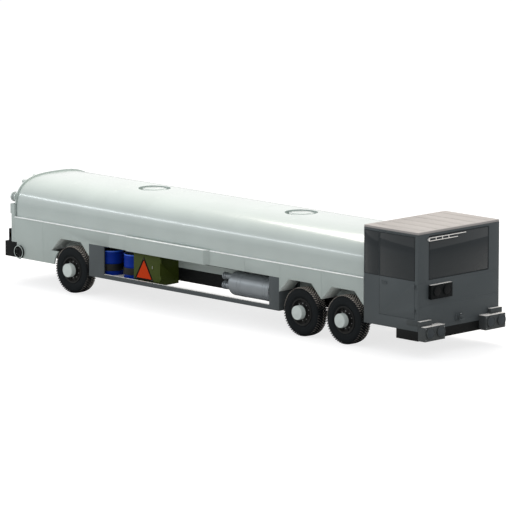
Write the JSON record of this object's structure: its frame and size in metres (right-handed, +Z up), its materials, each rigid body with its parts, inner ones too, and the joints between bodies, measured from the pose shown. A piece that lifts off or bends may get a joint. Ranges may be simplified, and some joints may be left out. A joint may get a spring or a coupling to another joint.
{
  "type": "airfield tanker truck",
  "caption": "Rigid airfield tanker truck: low flat-fronted cab, long rounded tank over skirts and side frames, steered front axles and a single rear axle.",
  "frame": {"origin": "on the ground, at the middle of the whole vehicle", "axes": "+X forwards, +Y to the left, +Z up"},
  "size_m": [13.395, 2.77, 2.725],
  "materials": {
    "black_steel": "satin black",
    "cab_paint": "satin slate grey",
    "dark_glass": "dark tinted",
    "tank_paint": "gloss light grey green",
    "seat_fabric": "woven",
    "dash_plastic": "grained",
    "grey_iron": "painted",
    "bright_steel": "brushed",
    "drum_blue": "gloss blue",
    "cabinet_olive": "satin olive",
    "vessel_aluminium": "satin",
    "lamp_plastic": "gloss",
    "tyre_rubber": "dusty",
    "rim_paint": "satin black"
  },
  "bodies": {
    "chassis": {"chassis_frame": "black_steel", "front_underframe": "black_steel", "towing_jaw": "grey_iron", "cab_shell": "cab_paint", "cab_roof": "cab_paint", "cab_glass": "dark_glass", "seats": "seat_fabric", "dashboard": "dash_plastic", "engine_block": "grey_iron", "corner_lamp_boxes": "cab_paint", "front_lamp_pod": "black_steel", "wiper": "bright_steel", "tank": "tank_paint", "tank_bearers": "tank_paint", "skirts": "tank_paint", "name_boards": "tank_paint", "side_frames": "cab_paint", "drums": "drum_blue", "side_cabinets": "cabinet_olive", "filter_vessels": "vessel_aluminium", "rear_cabinet": "tank_paint", "rear_bumper": "black_steel", "side_couplings": "bright_steel", "rear_lamps": "lamp_plastic", "ladder": "bright_steel", "front_axles": "grey_iron", "rear_axle": "grey_iron"},
    "door_right_body": {"door_right": "cab_paint", "door_glass_right": "dark_glass"},
    "door_left_body": {"door_left": "cab_paint", "door_glass_left": "dark_glass"},
    "steering_wheel_body": {"steering_wheel": "dash_plastic"},
    "manhole_front_body": {"manhole_lid_front": "tank_paint"},
    "manhole_rear_body": {"manhole_lid_rear": "tank_paint"},
    "cabinet_door_right_body": {"cabinet_door_right": "cabinet_olive"},
    "cabinet_door_left_body": {"cabinet_door_left": "cabinet_olive"},
    "rear_door_right_body": {"rear_door_right": "tank_paint"},
    "rear_door_left_body": {"rear_door_left": "tank_paint"},
    "knuckle_1_right_body": {"knuckle_1_right": "grey_iron"},
    "knuckle_1_left_body": {"knuckle_1_left": "grey_iron"},
    "knuckle_2_right_body": {"knuckle_2_right": "grey_iron"},
    "knuckle_2_left_body": {"knuckle_2_left": "grey_iron"},
    "wheel_1_right": {"tyre_1_right": "tyre_rubber", "rim_1_right": "rim_paint"},
    "wheel_1_left": {"tyre_1_left": "tyre_rubber", "rim_1_left": "rim_paint"},
    "wheel_2_right": {"tyre_2_right": "tyre_rubber", "rim_2_right": "rim_paint"},
    "wheel_2_left": {"tyre_2_left": "tyre_rubber", "rim_2_left": "rim_paint"},
    "wheel_3_right": {"tyre_3_right": "tyre_rubber", "rim_3_right": "rim_paint"},
    "wheel_3_left": {"tyre_3_left": "tyre_rubber", "rim_3_left": "rim_paint"}
  },
  "joints": [
    {"name": "cab_door_right", "type": "hinge", "parent": "chassis", "child": "door_right_body", "pos_m": [6.351, -1.289, 1.3], "axis": [0, 0, 1], "range_deg": [0, 75]},
    {"name": "cab_door_left", "type": "hinge", "parent": "chassis", "child": "door_left_body", "pos_m": [6.351, 1.289, 1.3], "axis": [0, 0, -1], "range_deg": [0, 75]},
    {"name": "steering_wheel_turn", "type": "hinge", "parent": "chassis", "child": "steering_wheel_body", "pos_m": [6.0875, 0.62, 1.37], "axis": [-0.766, 0, 0.6428], "range_deg": [-540, 540]},
    {"name": "manhole_front_lid", "type": "hinge", "parent": "chassis", "child": "manhole_front_body", "pos_m": [1.3875, 0, 2.431], "axis": [0, -1, 0], "range_deg": [0, 100]},
    {"name": "manhole_rear_lid", "type": "hinge", "parent": "chassis", "child": "manhole_rear_body", "pos_m": [-3.3175, 0, 2.431], "axis": [0, -1, 0], "range_deg": [0, 100]},
    {"name": "side_cabinet_right_door", "type": "hinge", "parent": "chassis", "child": "cabinet_door_right_body", "pos_m": [-1.5685, -1.186, 0.9], "axis": [0, 0, 1], "range_deg": [0, 100]},
    {"name": "side_cabinet_left_door", "type": "hinge", "parent": "chassis", "child": "cabinet_door_left_body", "pos_m": [-1.5685, 1.186, 0.9], "axis": [0, 0, -1], "range_deg": [0, 100]},
    {"name": "rear_cabinet_right_door", "type": "hinge", "parent": "chassis", "child": "rear_door_right_body", "pos_m": [-6.4915, -1.1235, 1.4], "axis": [0, 0, 1], "range_deg": [0, 90]},
    {"name": "rear_cabinet_left_door", "type": "hinge", "parent": "chassis", "child": "rear_door_left_body", "pos_m": [-6.4915, 1.1235, 1.4], "axis": [0, 0, -1], "range_deg": [0, 90]},
    {"name": "steer_1_right", "type": "hinge", "parent": "chassis", "child": "knuckle_1_right_body", "pos_m": [4.2175, -0.96, 0.542], "axis": [0, 0, 1], "range_deg": [-30, 30]},
    {"name": "steer_1_left", "type": "hinge", "parent": "chassis", "child": "knuckle_1_left_body", "pos_m": [4.2175, 0.96, 0.542], "axis": [0, 0, 1], "range_deg": [-30, 30]},
    {"name": "steer_2_right", "type": "hinge", "parent": "chassis", "child": "knuckle_2_right_body", "pos_m": [2.9125, -0.96, 0.542], "axis": [0, 0, 1], "range_deg": [-27, 27]},
    {"name": "steer_2_left", "type": "hinge", "parent": "chassis", "child": "knuckle_2_left_body", "pos_m": [2.9125, 0.96, 0.542], "axis": [0, 0, 1], "range_deg": [-27, 27]},
    {"name": "spin_1_right", "type": "hinge", "parent": "knuckle_1_right_body", "child": "wheel_1_right", "pos_m": [4.2175, -1.1, 0.542], "axis": [0, 1, 0], "continuous": true},
    {"name": "spin_1_left", "type": "hinge", "parent": "knuckle_1_left_body", "child": "wheel_1_left", "pos_m": [4.2175, 1.1, 0.542], "axis": [0, 1, 0], "continuous": true},
    {"name": "spin_2_right", "type": "hinge", "parent": "knuckle_2_right_body", "child": "wheel_2_right", "pos_m": [2.9125, -1.1, 0.542], "axis": [0, 1, 0], "continuous": true},
    {"name": "spin_2_left", "type": "hinge", "parent": "knuckle_2_left_body", "child": "wheel_2_left", "pos_m": [2.9125, 1.1, 0.542], "axis": [0, 1, 0], "continuous": true},
    {"name": "spin_3_right", "type": "hinge", "parent": "chassis", "child": "wheel_3_right", "pos_m": [-4.4725, -1.1, 0.542], "axis": [0, 1, 0], "continuous": true},
    {"name": "spin_3_left", "type": "hinge", "parent": "chassis", "child": "wheel_3_left", "pos_m": [-4.4725, 1.1, 0.542], "axis": [0, 1, 0], "continuous": true}
  ],
  "couplings": [
    {"joint": "steer_1_left", "follows": "steer_1_right", "ratio": 1},
    {"joint": "steer_2_right", "follows": "steer_1_right", "ratio": 0.85},
    {"joint": "steer_2_left", "follows": "steer_1_right", "ratio": 0.85},
    {"joint": "steering_wheel_turn", "follows": "steer_1_right", "ratio": 18}
  ]
}
